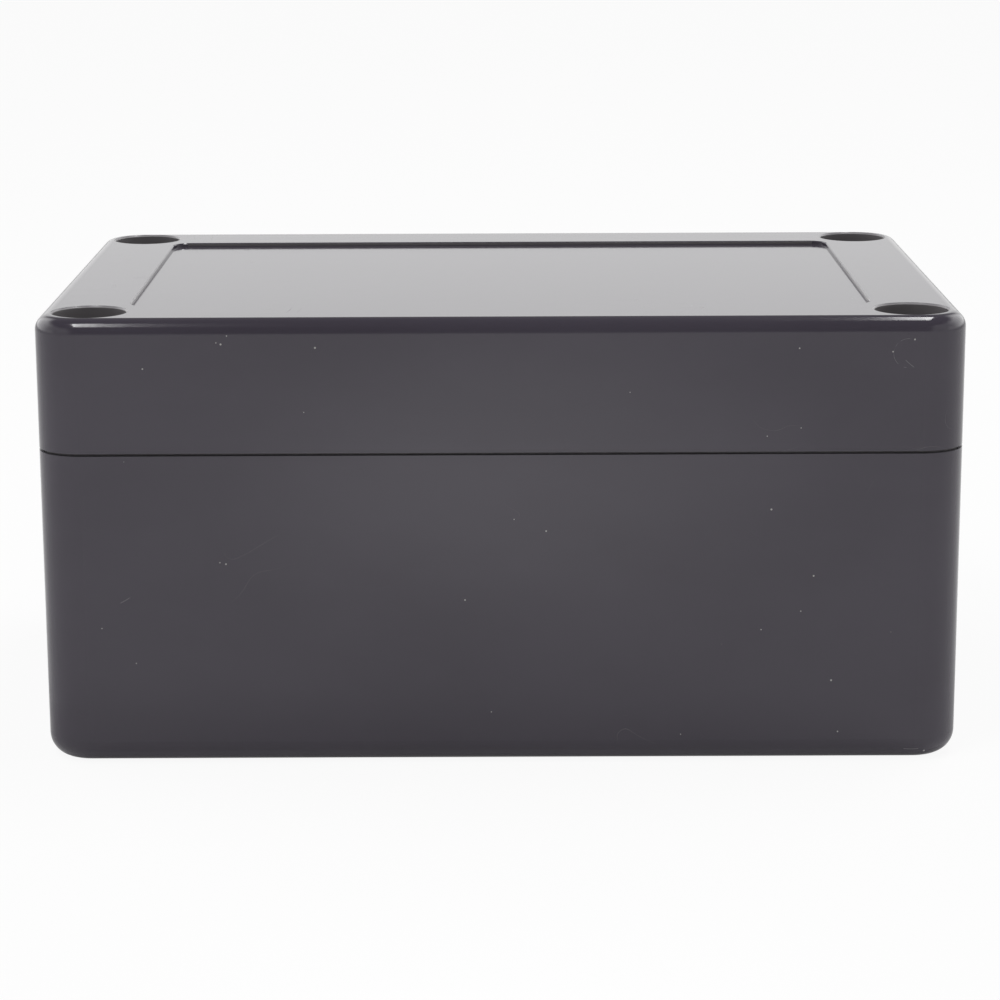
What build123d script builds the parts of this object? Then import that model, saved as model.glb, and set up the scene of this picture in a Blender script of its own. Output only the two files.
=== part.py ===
"""Sealed plastic project box: a deep base, a lid on a gasket, and four lid screws in brass inserts.

Millimetres. +X is the long side, +Y the depth, +Z up. The origin is the middle of the flat underside.
"""

from build123d import *

import os

# Overall size, taken from the outside faces
box_length = 122.0
box_width = 82.0
base_height = 42.0
lid_height = 18.0

# Outside rounding
corner_radius = 6.0
lid_edge_radius = 2.0
base_edge_radius = 3.1
well_rim_chamfer = 0.25

# Walls
wall = 2.8
floor_thickness = 3.2
lid_top_thickness = 3.2

# Label recess in the lid's top, placed from the outside walls
recess_margin_x = 11.7
recess_margin_y = 11.3
recess_depth = 0.5
recess_corner_radius = 2.5
recess_rim_chamfer = 0.15

# Lid screws: how far in from both walls, their wells in the lid and their shank holes
screw_inset = 7.0
well_diameter = 9.7
well_depth = 9.0
shank_hole_clearance = 0.2

# Pan head machine screw with a cross recess, and its rubber washer
screw_diameter = 4.0
screw_length = 20.0
head_diameter = 8.0
head_height = 3.1
head_chamfer = 0.4
cross_span = 4.4
cross_width = 1.1
cross_depth = 2.0
washer_diameter = 8.6
washer_thickness = 0.8
washer_bore_clearance = 0.1

# Brass insert, pressed into the head of a deep round hole
insert_diameter = 5.6
insert_length = 8.0
insert_sink = 0.2
insert_fit = 0.02
insert_thread_clearance = 0.05
insert_hole_foot = 4.5

# Wall fixing holes, each at the foot of a shaft that stands inwards from a lid screw
fixing_offset = 11.0
fixing_hole_diameter = 4.5
fixing_shaft_diameter = 8.4
column_wall = 2.8
cavity_corner_radius = 2.5

# Seal: tongue on the base, groove in the lid and the gasket at the groove's head
skirt = 1.3
groove_width = 1.8
groove_depth = 3.6
rib = 1.2
tongue_clearance = 0.3
tongue_height = 1.9
gasket_side_clearance = 0.05
gasket_height = 1.6

# Shadow gap along the parting line
parting_gap = 0.35
parting_gap_depth = 0.7

# Circuit board bosses on the floor, as far in from one wall as from the other
boss_inset = 19.0
boss_diameter = 7.0
boss_height = 6.0
boss_hole_diameter = 2.7
boss_hole_depth = 7.0

# Upright card guides on the long walls
guide_pitch = 40.0
guide_count = 2
guide_slot = 1.8
guide_rib_width = 1.2
guide_rib_depth = 1.5
guide_top_gap = 6.0

# Heights and half sizes that follow from the sizes above
box_height = base_height + lid_height
parting_z = base_height
lid_ceiling_z = box_height - lid_top_thickness
well_floor_z = box_height - well_depth
recess_length = box_length - 2 * recess_margin_x
recess_width = box_width - 2 * recess_margin_y
screw_spacing_x = box_length - 2 * screw_inset
screw_spacing_y = box_width - 2 * screw_inset
fixing_spacing_x = screw_spacing_x - 2 * fixing_offset
fixing_spacing_y = screw_spacing_y
boss_spacing_x = box_length - 2 * boss_inset
boss_spacing_y = box_width - 2 * boss_inset
cavity_half_x = box_length / 2 - wall
cavity_half_y = box_width / 2 - wall
column_radius = fixing_shaft_diameter / 2 + column_wall
column_face_x = fixing_spacing_x / 2 - column_radius
column_face_y = fixing_spacing_y / 2 - column_radius
groove_outer = wall - skirt
groove_inner = groove_outer - groove_width
rib_inner = groove_inner - rib
tongue_outer = groove_outer - tongue_clearance


def at_corners(spacing_x, spacing_y):
    """The four places of a rectangular pattern, by name."""
    return {
        "front_left": (-spacing_x / 2, -spacing_y / 2),
        "front_right": (spacing_x / 2, -spacing_y / 2),
        "back_left": (-spacing_x / 2, spacing_y / 2),
        "back_right": (spacing_x / 2, spacing_y / 2),
    }


def upright(outline, low, high):
    """A plan outline made solid between two heights."""
    return Pos(0, 0, low) * extrude(outline, high - low)


def post(diameter, place, low, high):
    """A round post, or the tool for a round hole, between two heights."""
    return Pos(place[0], place[1], low) * Cylinder(
        diameter / 2, high - low, align=(Align.CENTER, Align.CENTER, Align.MIN)
    )


def edges_at(solid, height, within=1e-4):
    """The edges that lie flat at one height."""
    return solid.edges().filter_by_position(Axis.Z, height - within, height + within)


def outer_outline(inset=0.0):
    """Plan of the box's outside, moved inwards by inset."""
    return RectangleRounded(
        box_length - 2 * inset, box_width - 2 * inset, corner_radius - inset
    )


def seal_outline(grow):
    """Plan of the sealed space, moved outwards by grow: it steps in round the screw columns."""
    half_x = cavity_half_x + grow
    half_y = cavity_half_y + grow
    step_x = column_face_x + grow
    step_y = column_face_y + grow
    plan = Rectangle(2 * step_x, 2 * half_y) + Rectangle(2 * half_x, 2 * step_y)
    inside = [v for v in plan.vertices() if abs(v.X) < step_x + 0.01 and abs(v.Y) < step_y + 0.01]
    plan = fillet(inside, column_radius - grow)
    reach = (half_x - 0.01, half_y - 0.01)
    outside = [v for v in plan.vertices() if is_end_corner(v, step_x, step_y, reach)]
    return fillet(outside, cavity_corner_radius + grow)


def is_end_corner(vertex, step_x, step_y, reach):
    """Whether a vertex is one of the eight square corners where a column meets a wall."""
    on_long_wall = abs(vertex.Y) > reach[1] and abs(abs(vertex.X) - step_x) < 0.01
    on_short_wall = abs(vertex.X) > reach[0] and abs(abs(vertex.Y) - step_y) < 0.01
    return on_long_wall or on_short_wall


def seal_band(outer, inner, low, high):
    """A closed band that follows the seal, between two offsets and two heights."""
    return upright(seal_outline(outer), low, high) - upright(seal_outline(inner), low, high)


def board_boss(place):
    """A round boss for a board screw, and the tool for its blind pilot hole."""
    top = floor_thickness + boss_height
    boss = post(boss_diameter, place, floor_thickness, top)
    return boss, post(boss_hole_diameter, place, top - boss_hole_depth, top)


def card_guide(along, side):
    """One pair of upright ribs on a long wall, with the slot for a card's edge between them."""
    top = parting_z - guide_top_gap
    root = side * cavity_half_y
    ribs = Part()
    for hand in (-1, 1):
        place = along + hand * (guide_slot + guide_rib_width) / 2
        ribs += Pos(place, root, (floor_thickness + top) / 2) * Box(
            guide_rib_width, 2 * guide_rib_depth, top - floor_thickness
        )
    return ribs


def base():
    """The deep half: walls, floor, four corner columns, sealing tongue, bosses and card guides."""
    body = upright(outer_outline(), 0, parting_z)
    body = fillet(edges_at(body, 0), base_edge_radius)
    body += upright(seal_outline(tongue_outer), floor_thickness, parting_z + tongue_height)
    body -= upright(seal_outline(0), floor_thickness, parting_z + tongue_height)
    for index in range(guide_count):
        along = (index - (guide_count - 1) / 2) * guide_pitch
        for side in (-1, 1):
            body += card_guide(along, side)
    for place in at_corners(boss_spacing_x, boss_spacing_y).values():
        boss, pilot = board_boss(place)
        body += boss
        body -= pilot
    for place in at_corners(screw_spacing_x, screw_spacing_y).values():
        body -= post(insert_diameter, place, floor_thickness + insert_hole_foot, parting_z)
    for place in at_corners(fixing_spacing_x, fixing_spacing_y).values():
        body -= post(fixing_shaft_diameter, place, floor_thickness, parting_z)
        body -= post(fixing_hole_diameter, place, 0, parting_z)
    return body


def lid():
    """The shallow half: rounded top, label recess, screw wells, seal groove and hollow inside."""
    body = upright(outer_outline(), parting_z, box_height)
    body = fillet(edges_at(body, box_height), lid_edge_radius)
    body -= upright(recess_outline(), box_height - recess_depth, box_height)
    body -= rim_cutter(recess_outline(recess_rim_chamfer), recess_rim_chamfer)
    hollow = upright(seal_outline(rib_inner), parting_z, lid_ceiling_z)
    body -= hollow
    body -= seal_band(groove_outer, groove_inner, parting_z, parting_z + groove_depth)
    skirt_foot = upright(outer_outline(), parting_z, parting_z + parting_gap)
    skirt_foot -= upright(outer_outline(parting_gap_depth), parting_z, parting_z + parting_gap)
    body -= skirt_foot
    shank_hole = screw_diameter + 2 * shank_hole_clearance
    for place in at_corners(screw_spacing_x, screw_spacing_y).values():
        body -= post(well_diameter, place, well_floor_z, box_height)
        body -= post(shank_hole, place, parting_z, well_floor_z)
        mouth = Pos(place[0], place[1]) * Circle(well_diameter / 2 + well_rim_chamfer)
        body -= rim_cutter(mouth, well_rim_chamfer)
    return body


def recess_outline(grow=0.0):
    """Plan of the label recess, moved outwards by grow."""
    return RectangleRounded(
        recess_length + 2 * grow, recess_width + 2 * grow, recess_corner_radius + grow
    )


def rim_cutter(outline, size):
    """The tool that breaks a rim in the lid's top at 45 degrees, down to size below the top."""
    block = upright(outline, box_height - size, box_height + size)
    return chamfer(edges_at(block, box_height - size), size)


def gasket():
    """The soft cord at the head of the lid's groove, one closed loop outside the lid's hollow."""
    top = parting_z + groove_depth
    outer = groove_outer - gasket_side_clearance
    inner = groove_inner + gasket_side_clearance
    return seal_band(outer, inner, top - gasket_height, top)


def cross_recess():
    """The driver recess: two crossed slots, cut down from the top of the head."""
    plan = Rectangle(cross_span, cross_width) + Rectangle(cross_width, cross_span)
    return extrude(plan, -cross_depth)


def lid_screw(place):
    """A pan head screw whose head sits on its washer in the bottom of a well."""
    seat_z = well_floor_z + washer_thickness
    radius = head_diameter / 2
    shank = screw_diameter / 2
    profile = Polyline(
        (0, -screw_length),
        (shank, -screw_length),
        (shank, 0),
        (radius, 0),
        (radius, head_height - head_chamfer),
        (radius - head_chamfer, head_height),
        (0, head_height),
        close=True,
    )
    screw = revolve(Plane.XZ * make_face(profile), Axis.Z)
    screw -= Pos(0, 0, head_height) * cross_recess()
    return Pos(place[0], place[1], seat_z) * screw


def ring(outer_radius, inner_radius, height):
    """A plain round ring that stands on the plane."""
    stand = (Align.CENTER, Align.CENTER, Align.MIN)
    return Cylinder(outer_radius, height, align=stand) - Cylinder(inner_radius, height, align=stand)


def screw_washer(place):
    """The rubber washer between a screw's head and the floor of its well."""
    bore_radius = screw_diameter / 2 + washer_bore_clearance
    washer = ring(washer_diameter / 2, bore_radius, washer_thickness)
    return Pos(place[0], place[1], well_floor_z) * washer


def brass_insert(place):
    """A brass insert: a threaded sleeve, sunk a little below the rim it is pressed into."""
    radius = insert_diameter / 2 - insert_fit
    bore_radius = screw_diameter / 2 + insert_thread_clearance
    sleeve = ring(radius, bore_radius, insert_length)
    return Pos(place[0], place[1], parting_z - insert_sink - insert_length) * sleeve


def main():
    """Write every piece as its own file."""
    os.makedirs("parts", exist_ok=True)
    pieces = {"base": base(), "lid": lid(), "gasket": gasket()}
    for corner, place in at_corners(screw_spacing_x, screw_spacing_y).items():
        pieces[f"lid_screw_{corner}"] = lid_screw(place)
        pieces[f"screw_washer_{corner}"] = screw_washer(place)
        pieces[f"brass_insert_{corner}"] = brass_insert(place)
    for name, piece in pieces.items():
        export_step(piece, f"parts/{name}.step")


main()
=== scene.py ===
"""Looks of the sealed plastic project box: moulded case, seal, lid screws and the studio round it.

Metres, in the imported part's frame: +X is the long side, +Y the depth, +Z up through the lid.
"""

import math

import bpy
import numpy as np
from mathutils import Matrix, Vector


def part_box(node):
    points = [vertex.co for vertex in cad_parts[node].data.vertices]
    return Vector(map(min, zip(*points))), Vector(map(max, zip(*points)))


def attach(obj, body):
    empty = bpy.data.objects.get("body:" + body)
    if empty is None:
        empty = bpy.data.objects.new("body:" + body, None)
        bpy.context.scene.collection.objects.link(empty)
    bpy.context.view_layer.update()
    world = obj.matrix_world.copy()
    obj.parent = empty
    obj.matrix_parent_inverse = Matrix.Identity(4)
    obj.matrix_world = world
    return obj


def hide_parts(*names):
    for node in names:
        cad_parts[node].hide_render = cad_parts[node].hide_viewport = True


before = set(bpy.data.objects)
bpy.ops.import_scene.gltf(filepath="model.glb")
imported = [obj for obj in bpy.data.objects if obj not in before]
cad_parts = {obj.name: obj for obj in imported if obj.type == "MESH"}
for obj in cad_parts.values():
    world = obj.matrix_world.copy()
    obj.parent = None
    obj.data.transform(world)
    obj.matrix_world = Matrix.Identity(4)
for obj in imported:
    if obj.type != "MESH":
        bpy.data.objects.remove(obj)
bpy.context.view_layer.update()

MM = 0.001

# Case, read from the imported nodes, and how far up from its parting line the gap in it is matt and painted
# paler, which is painted light in its shade
lid_low, lid_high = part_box("lid")
half_length = lid_high.x
half_width = lid_high.y
parting_z = lid_low.z
matt_painted_light_gap = 0.34 * MM
gasket_low, gasket_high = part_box("gasket")

# The seal's plan: it steps in round the four screw columns
wall = 2.8 * MM
fixing_half_x = 43.0 * MM
fixing_half_y = 34.0 * MM
column_radius = 7.0 * MM
end_corner_radius = 2.5 * MM

# Screw wells in the lid, and how far the axes of the screws in them are from the middle
well_radius = 4.85 * MM
screw_low, screw_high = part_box("lid_screw_back_right")
screw_x = (screw_low.x + screw_high.x) / 2
screw_y = (screw_low.y + screw_high.y) / 2

# Label recess in the lid's top: its half sizes, corner radius and depth
recess_x = 49.3 * MM
recess_y = 29.7 * MM
recess_corner = 2.5 * MM
recess_depth = 0.5 * MM

# The upright part of the recess's wall: its middle and half its height
recess_wall_z = lid_high.z - 0.29 * MM
recess_wall_half = 0.19 * MM

# Thread of the lid screws and of their inserts
shank_radius = 1.97 * MM
pitch = 0.7 * MM
thread_depth = 0.42 * MM
thread_clearance = 0.07 * MM

# Rows of points on the screws' and the inserts' threads, and the angle from which edges are sharp there
rows_per_turn = 6
bore_rows = 66
thread_sharp_deg = 70

# Breadth of the soft edge of a painted area
soft_edge = 0.04 * MM

CORNERS = ("front_left", "front_right", "back_left", "back_right")


class Value:
    """A shader value that takes Python's arithmetic: every operation adds one Math node."""

    def __init__(self, finish, socket):
        self.finish = finish
        self.socket = socket

    def _math(self, operation, *terms):
        node = self.finish.add("ShaderNodeMath", {"operation": operation}, dict(enumerate(terms)))
        return Value(self.finish, node.outputs[0])

    def __add__(self, other):
        return self._math("ADD", self, other)

    def __sub__(self, other):
        return self._math("SUBTRACT", self, other)

    def __rsub__(self, other):
        return self._math("SUBTRACT", other, self)

    def __mul__(self, other):
        return self._math("MULTIPLY", self, other)

    def __abs__(self):
        return self._math("ABSOLUTE", self)

    __radd__ = __add__
    __rmul__ = __mul__

    def at_least(self, other):
        return self._math("MAXIMUM", self, other)

    def root(self):
        return self._math("SQRT", self)

    def fade(self, start, end):
        """0 at start, 1 at end and a smooth step between them; start may be the larger."""
        node = self.finish.add(
            "ShaderNodeMapRange",
            {"interpolation_type": "SMOOTHSTEP"},
            {"Value": self, "From Min": start, "From Max": end},
        )
        return Value(self.finish, node.outputs["Result"])

    def within(self, reach):
        """1 where the value is nearer to 0 than reach, with a soft edge just inside that."""
        return abs(self).fade(reach, reach - soft_edge)


class Finish:
    """The node tree of one material or of the world."""

    def __init__(self, owner):
        owner.use_nodes = True
        self.owner = owner
        self.tree = owner.node_tree
        self.tree.nodes.clear()

    def add(self, kind, settings=None, values=None):
        """A node of this kind: its settings are set first, then its sockets get values or links."""
        node = self.tree.nodes.new(kind)
        for name, setting in (settings or {}).items():
            setattr(node, name, setting)
        for name, value in (values or {}).items():
            socket = node.inputs[name]
            if isinstance(value, Value):
                value = value.socket
            if isinstance(value, bpy.types.NodeSocket):
                self.tree.links.new(value, socket)
            else:
                socket.default_value = value
        return node

    def value(self, kind, settings=None, values=None, output=0):
        """A node of this kind, as the value that it puts out."""
        return Value(self, self.add(kind, settings, values).outputs[output])

    def place(self):
        """The surface point in object coordinates, which are the part's own."""
        return self.add("ShaderNodeTexCoord").outputs["Object"]

    def axes(self, vector):
        """The three components of a vector."""
        split = self.add("ShaderNodeSeparateXYZ", None, {0: vector})
        return [Value(self, socket) for socket in split.outputs]

    def turned(self, vector, turn, scale):
        """The coordinates turned, then scaled along each axis."""
        values = {"Vector": vector, "Rotation": turn, "Scale": scale}
        return self.add("ShaderNodeMapping", None, values).outputs[0]

    def noise(self, vector, scale, detail):
        """Smooth noise from 0 to 1, about 0.5 on average."""
        values = {"Vector": vector, "Scale": scale, "Detail": detail}
        return self.value("ShaderNodeTexNoise", None, values)

    def away_from(self, vector, point):
        """How far the surface point is from a fixed point."""
        values = {0: vector, 1: point}
        return self.value("ShaderNodeVectorMath", {"operation": "DISTANCE"}, values, "Value")

    def blend(self, share, first, second):
        """A colour between two others."""
        values = {0: share, 6: first, 7: second}
        return self.add("ShaderNodeMix", {"data_type": "RGBA"}, values).outputs[2]

    def bump(self, height, distance):
        """The normal of a surface that height raises by up to distance."""
        values = {"Height": height, "Distance": distance, "Strength": 1.0}
        return self.add("ShaderNodeBump", None, values).outputs[0]

    def surface(self, **sockets):
        """Ends the tree in a Principled surface; an underscore in a name stands for a space."""
        values = {name.replace("_", " "): value for name, value in sockets.items()}
        shader = self.add("ShaderNodeBsdfPrincipled", None, values)
        self.add("ShaderNodeOutputMaterial", None, {"Surface": shader.outputs[0]})
        return self.owner


def material(name):
    """A new material with an empty node tree."""
    return Finish(bpy.data.materials.new(name))


def hairlines(f, place, turn, mask_scale):
    """Short hair-thin scratches: level lines of a noise drawn out along one direction, in patches."""
    drawn = f.noise(f.turned(place, turn, (1.0, 0.12, 1.0)), 210.0, 0.0)
    line = abs(drawn - 0.5).fade(0.0022, 0.0008)
    patch = f.noise(place, mask_scale, 1.0).fade(0.7, 0.76)
    return line * patch


def dust(f, place, scale, radius):
    """Specks of dust: the middles of some of the cells of a cell pattern."""
    cells = f.add("ShaderNodeTexVoronoi", None, {"Vector": place, "Scale": scale})
    distance = Value(f, cells.outputs["Distance"])
    chance = f.axes(cells.outputs["Color"])[0]
    reach = radius * scale
    return distance.fade(reach, reach * 0.6) * chance.fade(0.5, 0.6)


def scratch(f, place, point, turn, half_run, half_breadth):
    """One fine scratch in the surface through the point, bowed as a flat parabola."""
    values = {"Vector": place, "Location": point, "Rotation": turn}
    along = f.add("ShaderNodeMapping", {"vector_type": "TEXTURE"}, values).outputs[0]
    run, depth, breadth = f.axes(along)
    bow = 60.0
    inside = abs(run).fade(half_run, half_run * 0.8) * depth.within(1.0 * MM)
    return abs(breadth - run * run * bow).fade(half_breadth, half_breadth * 0.3) * inside


def hair(f, place, middle, radius, half_breadth):
    """A curled hair that clings to the front: a broken ring that is open towards +X."""
    x, y, z = f.axes(place)
    across, up = x - middle[0], z - middle[2]
    ring = abs((across * across + up * up).root() - radius).fade(half_breadth, half_breadth * 0.3)
    opening = across.fade(0.7 * MM, 0.3 * MM)
    held = f.noise(place, 900.0, 1.0).fade(0.42, 0.56)
    return ring * opening * (y - middle[1]).within(1.0 * MM) * held


def from_screw(x, y):
    """How far a point is from the axis of the nearest lid screw, seen from above."""
    across, ahead = abs(x) - screw_x, abs(y) - screw_y
    return (across * across + ahead * ahead).root()


def matt_painted_light_walls(f, place):
    """1 in the screw wells, on the label recess's long walls and in the parting gap, 0 elsewhere. These
    places are made matt and painted paler, which is painted light in their shade.
    """
    x, y, z = f.axes(place)
    wells = from_screw(x, y).within(well_radius + 0.1 * MM) * z.fade(parting_z, parting_z + 2 * MM)
    long_wall = (abs(y) - recess_y).within(0.1 * MM) * x.within(recess_x + 0.3 * MM)
    upright = (z - recess_wall_z).within(recess_wall_half)
    gap = (z - parting_z).within(matt_painted_light_gap)
    return wells.at_least(long_wall * upright).at_least(gap)


def painted_light_rims(f, place):
    """How much the rims of the wells and, most at the front, the recess's end walls are painted pale: a
    painted highlight for the light and reflections that these edges catch.
    """
    x, y, z = f.axes(place)
    straight = y.within(recess_y - recess_corner + 0.1 * MM)
    # The end walls are painted palest at the front, where they catch most light: painted highlight
    end_wall = (abs(x) - recess_x).within(0.2 * MM) * straight * y.fade(30 * MM, -20 * MM)
    reach = from_screw(x, y)
    well_rim = reach.within(well_radius + 0.3 * MM) * reach.fade(well_radius, well_radius + soft_edge)
    inside = (z - (lid_high.z - recess_depth / 2)).within(recess_depth / 2)
    return end_wall.at_least(well_rim * 0.55) * inside


def moulded_abs(name, specks_mm, scratches_mm, hairs_mm, matt_painted_light_recesses):
    """Glossy dark grey moulded plastic, with dust, hairline scratches and the marks it is given.

    specks_mm are (x, y, z, radius), scratches_mm are (x, y, z, turn, half length, half breadth) and
    hairs_mm are (x, y, z, radius, half breadth). The last argument is True for the lid: its wells, its
    label recess and its lower edge are matt and painted paler, which is painted light in their shade,
    and the rims of its wells and the recess's end walls are painted pale, which is a painted highlight.
    """
    f = material(name)
    place = f.place()
    cloud = f.noise(f.turned(place, (0, 0, 0), (1.0, 1.0, 1.8)), 30.0, 3.0)
    peel = f.noise(place, 330.0, 2.0)
    fine = f.noise(place, 2600.0, 1.0)
    marks = dust(f, place, 230.0, 0.1 * MM) * 0.7
    for *point, radius in specks_mm:
        reach = radius * MM
        marks = marks.at_least(f.away_from(place, [c * MM for c in point]).fade(reach, reach * 0.5))
    scratches = hairlines(f, place, (0.3, 0.2, 0.5), 46.0)
    scratches = scratches.at_least(hairlines(f, place, (1.1, 0.7, 1.9), 61.0)) * 0.6
    for *point, turn, half_run, half_breadth in scratches_mm:
        point = [c * MM for c in point]
        scratches = scratches.at_least(scratch(f, place, point, turn, half_run * MM, half_breadth * MM))
    for *point, radius, half_breadth in hairs_mm:
        point = [c * MM for c in point]
        scratches = scratches.at_least(hair(f, place, point, radius * MM, half_breadth * MM))
    plastic = f.blend(cloud.fade(0.3, 0.7), (0.0430, 0.0362, 0.0512, 1), (0.0500, 0.0428, 0.0592, 1))
    roughness = 0.085 + 0.03 * cloud
    if matt_painted_light_recesses:
        walls = matt_painted_light_walls(f, place)
        painted_rims = painted_light_rims(f, place)
        # Painted light: the matt places in the wells, on the recess's long walls and in the parting gap are
        # painted paler than the plastic
        plastic = f.blend(walls, plastic, (0.128, 0.120, 0.126, 1))
        # Painted highlight: the rims of the wells and the recess's end walls are painted pale
        plastic = f.blend(painted_rims, plastic, (0.40, 0.39, 0.40, 1))
        roughness = roughness + 0.4 * walls.at_least(painted_rims)
    scuffed = f.blend(scratches * 0.4, plastic, (0.26, 0.25, 0.26, 1))
    dusty = f.blend(marks, scuffed, (0.42, 0.41, 0.40, 1))
    return f.surface(
        Base_Color=dusty,
        Roughness=(roughness + 0.3 * scratches).at_least(marks * 0.8),
        IOR=1.54,
        Normal=f.bump(peel + fine * 0.06, 0.0055 * MM),
    )


def soft_rubber(name, colour, grain, depth):
    """Matt rubber with a fine closed-cell skin and pale bloom."""
    f = material(name)
    place = f.place()
    skin = f.noise(place, grain, 3.0)
    bloom = f.noise(place, grain * 0.12, 2.0).fade(0.45, 0.75)
    pale = tuple(channel * 1.9 + 0.006 for channel in colour) + (1,)
    return f.surface(
        Base_Color=f.blend(bloom * 0.6, colour + (1,), pale),
        Roughness=0.62 + 0.2 * skin,
        Normal=f.bump(skin, depth),
    )


def turned_metal(name, dark, light, roughness, rings):
    """Turned and polished metal: fine tool lines along the surface's own V, with dull smears."""
    f = material(name)
    along = f.add("ShaderNodeUVMap", {"uv_map": "wrap"}).outputs[0]
    lines = f.noise(f.turned(along, (0, 0, 0), (3.0, rings, 1.0)), 1.0, 3.0)
    smear = f.noise(f.place(), 900.0, 3.0)
    return f.surface(
        Base_Color=f.blend(smear.fade(0.3, 0.75), dark + (1,), light + (1,)),
        Metallic=1.0,
        Roughness=roughness + 0.16 * smear + 0.08 * lines,
        Normal=f.bump(lines, 0.004 * MM),
    )


def pale_floor():
    """White floor that keeps a soft shadow, looks pale in reflections and is clear from below."""
    f = material("studio_floor")
    mirrored, own_light = 0.2, 0.92
    paint = f.add("ShaderNodeBsdfDiffuse", None, {"Color": (0.86, 0.86, 0.86, 1)})
    glow = f.add("ShaderNodeEmission", None, {"Color": (1, 1, 1, 1), "Strength": 1.0})
    path = f.add("ShaderNodeLightPath")
    straight, gloss, through = [
        Value(f, path.outputs[name]) for name in ("Is Camera Ray", "Is Glossy Ray", "Is Transmission Ray")
    ]
    seen = straight.at_least(gloss * mirrored).at_least(through)
    lit = f.add("ShaderNodeMixShader", None, {0: seen * own_light, 1: paint.outputs[0], 2: glow.outputs[0]})
    below = f.add("ShaderNodeNewGeometry").outputs["Backfacing"]
    clear = f.add("ShaderNodeBsdfTransparent")
    shown = f.add("ShaderNodeMixShader", None, {0: below, 1: lit.outputs[0], 2: clear.outputs[0]})
    f.add("ShaderNodeOutputMaterial", None, {"Surface": shown.outputs[0]})
    return f.owner


def studio_world():
    """White low down behind and beside the box, a dark strip overhead and paler banks beside it.

    The camera itself sees plain white. Directions are unit vectors, so that 0 up is level.
    """
    world = bpy.data.worlds.new("studio")
    bpy.context.scene.world = world
    f = Finish(world)
    across, ahead, up = f.axes(f.add("ShaderNodeTexCoord").outputs["Generated"])
    above_floor = up.fade(-0.05, 0.1)
    ceiling = up.fade(0.24, 0.4)
    room = (0 - ahead).fade(0.2, 0.6) * above_floor
    banks = abs(across).fade(0.25, 0.5) * above_floor * up.fade(0.78, 0.55)
    bank_level = 0.7 + 1.4 * ahead.fade(-0.3, 0.5)
    shade = ceiling.at_least(room) * 0.9
    lit = (1.1 - shade).at_least(banks * bank_level)
    seen = Value(f, f.add("ShaderNodeLightPath").outputs["Is Camera Ray"])
    level = lit * (1 - seen) + seen
    glow = f.add("ShaderNodeBackground", None, {"Color": (1, 1, 1, 1), "Strength": level})
    f.add("ShaderNodeOutputWorld", None, {"Surface": glow.outputs[0]})


def softbox(name, lean_x, height_deg, run):
    """A strip lamp over the box that runs from front to back.

    height_deg is its angle up from the front, with 90 overhead. lean_x is the sine of its lean to +X.
    """
    distance = 0.8
    lamp = bpy.data.lights.new(name, "AREA")
    lamp.shape = "RECTANGLE"
    lamp.size = 0.11
    lamp.size_y = run
    lamp.energy = 1.7
    holder = bpy.data.objects.new(name, lamp)
    bpy.context.scene.collection.objects.link(holder)
    lean = Matrix.Rotation(math.asin(lean_x), 4, "Y")
    tilt = Matrix.Rotation(math.radians(90 - height_deg), 4, "X")
    aim = Matrix.Translation((0, 0, parting_z))
    holder.matrix_world = aim @ tilt @ lean @ Matrix.Translation((0, 0, distance))


def front_pool(ahead, high, spread_deg, narrow, watts):
    """A soft oval pool of light on the floor in front of the box, which the front face mirrors."""
    lamp = bpy.data.lights.new("front_pool", "SPOT")
    lamp.energy = watts
    lamp.spot_size = math.radians(2 * spread_deg)
    lamp.spot_blend = 1.0
    lamp.shadow_soft_size = 0.03
    holder = bpy.data.objects.new("front_pool", lamp)
    bpy.context.scene.collection.objects.link(holder)
    holder.visible_glossy = False
    holder.location = (0, -half_width - ahead, high)
    holder.scale = (narrow, 1.0, 1.0)


def studio_floor(reach):
    """A wide plain floor under the box."""
    corners = [(-reach, -reach, 0), (reach, -reach, 0), (reach, reach, 0), (-reach, reach, 0)]
    mesh = bpy.data.meshes.new("studio_floor")
    mesh.from_pydata(corners, [], [(0, 1, 2, 3)])
    floor = bpy.data.objects.new("studio_floor", mesh)
    bpy.context.scene.collection.objects.link(floor)
    floor.data.materials.append(pale_floor())


def camera(lens_mm, place, pitch_deg, roll_deg):
    """The photograph's viewpoint: low in front of the box, looking a little down on the lid."""
    lens = bpy.data.cameras.new("camera")
    lens.sensor_width = 36.0
    lens.lens = lens_mm
    lens.clip_start = 0.01
    lens.clip_end = 20.0
    view = bpy.data.objects.new("camera", lens)
    bpy.context.scene.collection.objects.link(view)
    pitch_turn = Matrix.Rotation(math.radians(90 - pitch_deg), 4, "X")
    roll_turn = Matrix.Rotation(math.radians(roll_deg), 4, "Z")
    view.matrix_world = Matrix.Translation(place) @ pitch_turn @ roll_turn
    bpy.context.scene.camera = view


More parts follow.
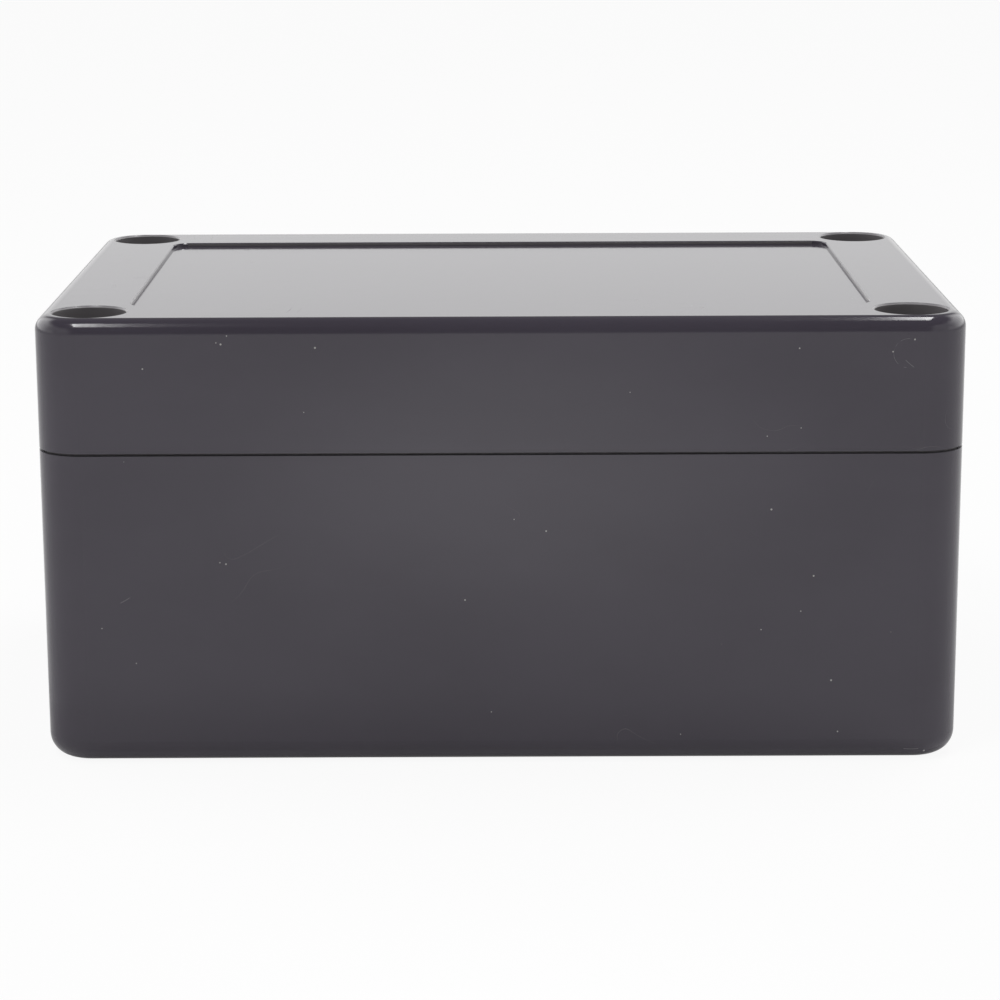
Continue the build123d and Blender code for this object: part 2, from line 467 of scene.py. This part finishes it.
def grid_piece(name, rows, body, finish, replaced, closed_rows=False, sharp_deg=35):
    """A closed surface from a grid of points, which closes round its columns.

    rows is an array of rows by columns by three. With closed_rows the last row joins the first;
    otherwise the first and last rows are filled by a fan about their middle. The UV map "wrap"
    has U round the columns and V along the rows in centimetres.
    """
    count, around = rows.shape[:2]
    i, j = np.meshgrid(np.arange(count if closed_rows else count - 1), np.arange(around), indexing="ij")
    below, beside = (i + 1) % count, (j + 1) % around
    quads = np.stack([i * around + j, below * around + j, below * around + beside, i * around + beside], -1)
    quads = quads.reshape(-1, 4)
    step = np.linalg.norm(np.diff(rows, axis=0, append=rows[:1]), axis=2).mean(1)
    v = np.concatenate([[0.0], np.cumsum(step)]) * 100
    u = np.arange(around + 1) / around
    quad_uv = np.stack([
        np.stack([u[j], v[i]], -1), np.stack([u[j], v[i + 1]], -1),
        np.stack([u[j + 1], v[i + 1]], -1), np.stack([u[j + 1], v[i]], -1),
    ], -2).reshape(-1, 4, 2)
    points = rows.reshape(-1, 3)
    faces, uvs = quads.tolist(), [quad_uv.reshape(-1, 2)]
    if not closed_rows:
        points = np.concatenate([points, rows[:1].mean(1), rows[-1:].mean(1)])
        first, last = len(points) - 2, len(points) - 1
        ring = np.arange(around)
        following = (ring + 1) % around
        end = (count - 1) * around
        faces += np.stack([np.full(around, first), ring, following], -1).tolist()
        faces += np.stack([np.full(around, last), end + following, end + ring], -1).tolist()
        for level in (v[0], v[count - 1]):
            fan = np.stack([u[ring] + 0.5 / around, u[ring], u[ring + 1]], -1)
            uvs.append(np.stack([fan, np.full_like(fan, level)], -1).reshape(-1, 2))
    mesh = bpy.data.meshes.new(name)
    mesh.from_pydata(points.tolist(), [], faces)
    mesh.uv_layers.new(name="wrap").data.foreach_set("uv", np.concatenate(uvs).astype(np.float32).ravel())
    mesh.shade_smooth()
    mesh.set_sharp_from_angle(angle=math.radians(sharp_deg))
    mesh.validate()
    piece = bpy.data.objects.new(name, mesh)
    bpy.context.scene.collection.objects.link(piece)
    mesh.materials.append(finish)
    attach(piece, body)
    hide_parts(replaced)


def lathe_rows(middle, radius, height, around):
    """Rows of points at the given radii and heights, each turned once round the upright axis."""
    angle = np.linspace(0, 2 * math.pi, around, endpoint=False)
    radius = np.broadcast_to(np.reshape(radius, (len(radius), -1)), (len(radius), around))
    height = np.broadcast_to(np.reshape(height, (len(height), -1)), radius.shape)
    return np.stack([
        middle[0] + radius * np.cos(angle),
        middle[1] + radius * np.sin(angle),
        middle[2] + height,
    ], -1)


def thread_radius(height, angle, crest):
    """Radius of a right-hand thread, whose rounded ridge climbs one pitch in each turn.

    It is the crest's radius less the depth times the squared cosine of pi times the phase. The
    phase is the height in pitches less the angle in turns.
    """
    phase = height / pitch - angle / (2 * math.pi)
    return crest - thread_depth * np.cos(math.pi * phase) ** 2


def cross_recess(x, y):
    """How deep the driver recess is at a point: two crossed slots with steep walls and blunt ends."""
    depth, span, breadth = 1.9 * MM, 2.2 * MM, 0.55 * MM
    steepness, end_slope = 5.0, 0.75
    one = np.minimum(breadth - np.abs(y), (span - np.abs(x)) * end_slope)
    other = np.minimum(breadth - np.abs(x), (span - np.abs(y)) * end_slope)
    return np.clip(np.maximum(one, other) * steepness, 0, depth)


def lid_screw(corner, finish):
    """A pan head machine screw with a cross recess and a cut thread.

    Its rows run from the middle of the head, over its rounded edge, in under the head and down
    the thread to the bevelled tip. The head's profile is a superellipse, with the recess cut in.
    """
    around = 72
    angle = np.linspace(0, 2 * math.pi, around, endpoint=False)
    low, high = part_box(f"lid_screw_{corner}")
    middle = ((low.x + high.x) / 2, (low.y + high.y) / 2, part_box(f"screw_washer_{corner}")[1].z)
    inset = 0.01 * MM
    head_radius, head_height = (high.x - low.x) / 2 - inset, high.z - middle[2] - inset
    length = middle[2] - low.z
    edge = 0.9 * MM
    bend = np.linspace(0.02, math.pi / 2, 44)
    power = 2.7
    top_radius = head_radius * np.sin(bend) ** (2 / power)
    top_height = edge + (head_height - edge) * np.cos(bend).clip(0) ** (2 / power)
    x, y = np.outer(top_radius, np.cos(angle)), np.outer(top_radius, np.sin(angle))
    top = lathe_rows(middle, top_radius, top_height[:, None] - cross_recess(x, y), around)
    # Radius and height of the rows under the head
    under = (
        (head_radius, 0.2 * MM),
        (head_radius - 0.15 * MM, 0),
        (shank_radius + 0.3 * MM, 0),
        (shank_radius, -0.25 * MM),
        (shank_radius, -1.0 * MM),
    )
    start, end = -1.1 * MM, -length + 0.55 * MM
    run = np.linspace(start, end, int((start - end) / pitch * rows_per_turn))
    run_out = np.clip((start - run) / pitch, 0, 1)[:, None]
    cut = thread_radius(run[:, None], angle[None, :], shank_radius)
    thread = lathe_rows(middle, shank_radius + (cut - shank_radius) * run_out, run, around)
    tip_z = -length + 0.02 * MM
    tip = ((1.45 * MM, tip_z), (1.2 * MM, tip_z))
    rows = np.concatenate([
        top,
        lathe_rows(middle, *np.transpose(under), around),
        thread,
        lathe_rows(middle, *np.transpose(tip), around),
    ])
    grid_piece(
        f"pan_head_screw_{corner}", rows, f"screw_{corner}", finish,
        f"lid_screw_{corner}", sharp_deg=thread_sharp_deg,
    )


def rounded_section(half_breadth, half_height, power, count):
    """A closed superellipse: a rectangle with well-rounded corners, as offsets from its middle."""
    turn = np.linspace(0, 2 * math.pi, count, endpoint=False)
    across, up = np.cos(turn), np.sin(turn)
    across = half_breadth * np.sign(across) * np.abs(across) ** (2 / power)
    up = half_height * np.sign(up) * np.abs(up) ** (2 / power)
    return across, up


def screw_washer(corner, finish):
    """A rubber washer: a superellipse carried round the screw's axis."""
    low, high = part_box(f"screw_washer_{corner}")
    middle = ((low.x + high.x) / 2, (low.y + high.y) / 2, (low.z + high.z) / 2)
    outer, bore = (high.x - low.x) / 2, 2.1 * MM
    across, up = rounded_section((outer - bore) / 2, (high.z - low.z) / 2, 5.0, 28)
    rows = lathe_rows(middle, (outer + bore) / 2 + across, up, 72)
    grid_piece(
        f"head_washer_{corner}", rows, f"washer_{corner}", finish,
        f"screw_washer_{corner}", closed_rows=True,
    )


def brass_insert(corner, finish):
    """A knurled sleeve with a thread that fits the screw's: one closed profile turned round its axis.

    The outside has a straight knurl between two plain bands: 24 flutes, each hollowed by half a
    sine wave. The bore follows the screw's thread with a small clearance.
    """
    around, flutes, flute_depth = 96, 24, 0.13 * MM
    angle = np.linspace(0, 2 * math.pi, around, endpoint=False)
    low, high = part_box(f"brass_insert_{corner}")
    screw_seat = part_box(f"screw_washer_{corner}")[1].z
    middle = ((low.x + high.x) / 2, (low.y + high.y) / 2, high.z)
    outer, length = (high.x - low.x) / 2, high.z - low.z
    band, bevel = 1.4 * MM, 0.2 * MM
    knurl_start = band + 0.1 * MM
    # Radius, height and whether the flutes cut in, from the lower end up
    outside = (
        (2.4 * MM, -length, 0),
        (outer - bevel, -length, 0),
        (outer - 0.02 * MM, -length + band, 0),
        (outer, -length + knurl_start, 1),
        (outer, -knurl_start, 1),
        (outer - 0.02 * MM, -band, 0),
        (outer, -bevel, 0),
        (outer - bevel, 0, 0),
        (2.35 * MM, 0, 0),
    )
    radius, height, knurled = np.transpose(outside)
    flute = flute_depth * np.abs(np.sin(flutes / 2 * angle))
    mouth = 0.35 * MM
    run = np.linspace(-mouth, -length + mouth, bore_rows)
    above_seat = run[:, None] + high.z - screw_seat
    bore = thread_radius(above_seat, angle[None, :], shank_radius) + thread_clearance
    rows = np.concatenate([
        lathe_rows(middle, radius[:, None] - knurled[:, None] * flute, height, around),
        lathe_rows(middle, bore, run, around),
    ])
    grid_piece(
        f"knurled_insert_{corner}", rows, "case_base", finish,
        f"brass_insert_{corner}", closed_rows=True, sharp_deg=thread_sharp_deg,
    )


def seal_line(grow, steps):
    """Plan of the seal, moved outwards by grow: points and outward normals, anticlockwise.

    A quarter is three arcs: an end corner, the hollow round the column and the other end corner.
    The other quarters are its mirror images, taken in turn.
    """
    reach_x, reach_y = half_length - wall + grow, half_width - wall + grow
    step_x = fixing_half_x - column_radius + grow
    step_y = fixing_half_y - column_radius + grow
    corner, hollow = end_corner_radius + grow, column_radius - grow
    arcs = (
        (reach_x - corner, step_y - corner, corner, 0, 90, 1),
        (step_x + hollow, step_y + hollow, hollow, 270, 180, -1),
        (step_x - corner, reach_y - corner, corner, 0, 90, 1),
    )
    points, normals = [], []
    for x, y, radius, start, end, side in arcs:
        turn = np.radians(np.linspace(start, end, steps))
        spoke = np.stack([np.cos(turn), np.sin(turn)], -1)
        points.append(np.array([x, y]) + radius * spoke)
        normals.append(side * spoke)
    quarter = np.stack([np.concatenate(points), np.concatenate(normals)])
    left, down = np.array([-1, 1]), np.array([1, -1])
    return np.concatenate([quarter, (quarter * left)[:, ::-1], -quarter, (quarter * down)[:, ::-1]], axis=1)


def gasket(finish):
    """The seal's cord: a superellipse carried along the middle of the lid's groove."""
    groove_middle, half_breadth = 0.6 * MM, 0.85 * MM
    points, normals = seal_line(groove_middle, 10)
    middle_z = (gasket_low.z + gasket_high.z) / 2
    across, up = rounded_section(half_breadth, (gasket_high.z - gasket_low.z) / 2, 4.0, 24)
    flat = points[:, None, :] + normals[:, None, :] * across[None, :, None]
    height = np.broadcast_to(middle_z + up, flat.shape[:2])
    rows = np.concatenate([flat, height[:, :, None]], axis=2)[::-1]
    grid_piece("seal_cord", rows, "case_lid", finish, "gasket", closed_rows=True)


camera(lens_mm=108.26, place=(-0.00014, -0.4245, 0.1242), pitch_deg=12.95, roll_deg=-0.225)
studio_world()
studio_floor(reach=4.0)
softbox("strip_light_left", lean_x=-0.262, height_deg=67.5, run=0.37)
softbox("strip_light_right", lean_x=0.262, height_deg=101, run=0.44)
front_pool(ahead=0.2, high=0.5, spread_deg=17, narrow=0.4, watts=5.4)
bpy.context.scene.view_settings.view_transform = "Standard"

# Marks that the photograph shows, in mm: specks of dust, scratches, and a hair on the front. Most
# lie on the front face, on the lid's top or on the floor of its label recess.
front = -half_width / MM
top = lid_high.z / MM
label = top - recess_depth / MM
lid_specks = (
    (-46.4, front, 53.6, 0.13), (-36.2, front, 56.8, 0.16), (-36.8, front, 57.0, 0.10),
    (-35.4, front, 57.9, 0.10), (-24.0, front, 56.3, 0.16), (34.7, front, 44.4, 0.09),
    (38.7, front, 56.0, 0.12), (-25.6, front, 47.8, 0.07), (53.6, front, 57.1, 0.14),
    (50.8, front, 55.5, 0.12), (18.4, -23.4, label, 0.23), (26.6, -32.5, top, 0.27),
    (47.5, -22.1, label, 0.23), (49.8, -18.6, 59.9, 0.18), (-36.5, 13.6, label, 0.23),
    (17.2, 24.6, label, 0.18), (-53.4, -12.0, top, 0.23), (4.8, 33.5, top, 0.18),
)
base_specks = (
    (35.4, front, 34.6, 0.16), (41.1, front, 25.6, 0.14), (43.7, front, 11.3, 0.16),
    (34.3, front, 18.3, 0.10), (-4.8, front, 22.5, 0.14), (-36.2, front, 27.5, 0.13),
    (-37.0, front, 27.7, 0.09), (5.9, front, 31.8, 0.13), (55.5, -40.8, 3.0, 0.16),
    (44.7, front, 4.2, 0.12), (39.5, front, 20.8, 0.10), (-48.4, front, 14.0, 0.09),
    (-1.4, front, 7.1, 0.09), (-52.8, front, 18.8, 0.09), (1.7, front, 33.4, 0.09),
    (23.8, front, 3.9, 0.09), (54.4, -40.2, 1.4, 0.23), (56.4, -40.2, 1.2, 0.20),
    (55.7, -40.6, 2.1, 0.10),
)
lid_scratches = (
    (-50.4, -4.9, top, (math.pi / 2, 0, 0), 1.4, 0.09),
    (53.0, front, 53.9, (0, math.radians(40), 0), 0.8, 0.05),
)
base_scratches = (
    (-49.6, front, 22.6, (0, math.radians(-30), 0), 0.8, 0.05),
    (54.6, -40.3, 1.6, (0, 0, 0), 1.1, 0.08),
)
lid_hairs = ((52.8, front, 55.3, 1.9, 0.035),)
finish_of = {
    "base": moulded_abs("moulded_abs_base", base_specks, base_scratches, (), matt_painted_light_recesses=False),
    "lid": moulded_abs("moulded_abs_lid", lid_specks, lid_scratches, lid_hairs, matt_painted_light_recesses=True),
}
for node, finish in finish_of.items():
    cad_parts[node].material_slots[0].material = finish

steel = turned_metal("bright_steel", (0.46, 0.45, 0.44), (0.62, 0.61, 0.59), 0.16, 90.0)
brass = turned_metal("turned_brass", (0.60, 0.41, 0.16), (0.78, 0.57, 0.27), 0.2, 60.0)
washer_rubber = soft_rubber("washer_rubber", (0.018, 0.018, 0.018), 2400.0, 0.02 * MM)
seal_rubber = soft_rubber("seal_rubber", (0.022, 0.021, 0.022), 3200.0, 0.04 * MM)
gasket(seal_rubber)
for corner in CORNERS:
    lid_screw(corner, steel)
    screw_washer(corner, washer_rubber)
    brass_insert(corner, brass)
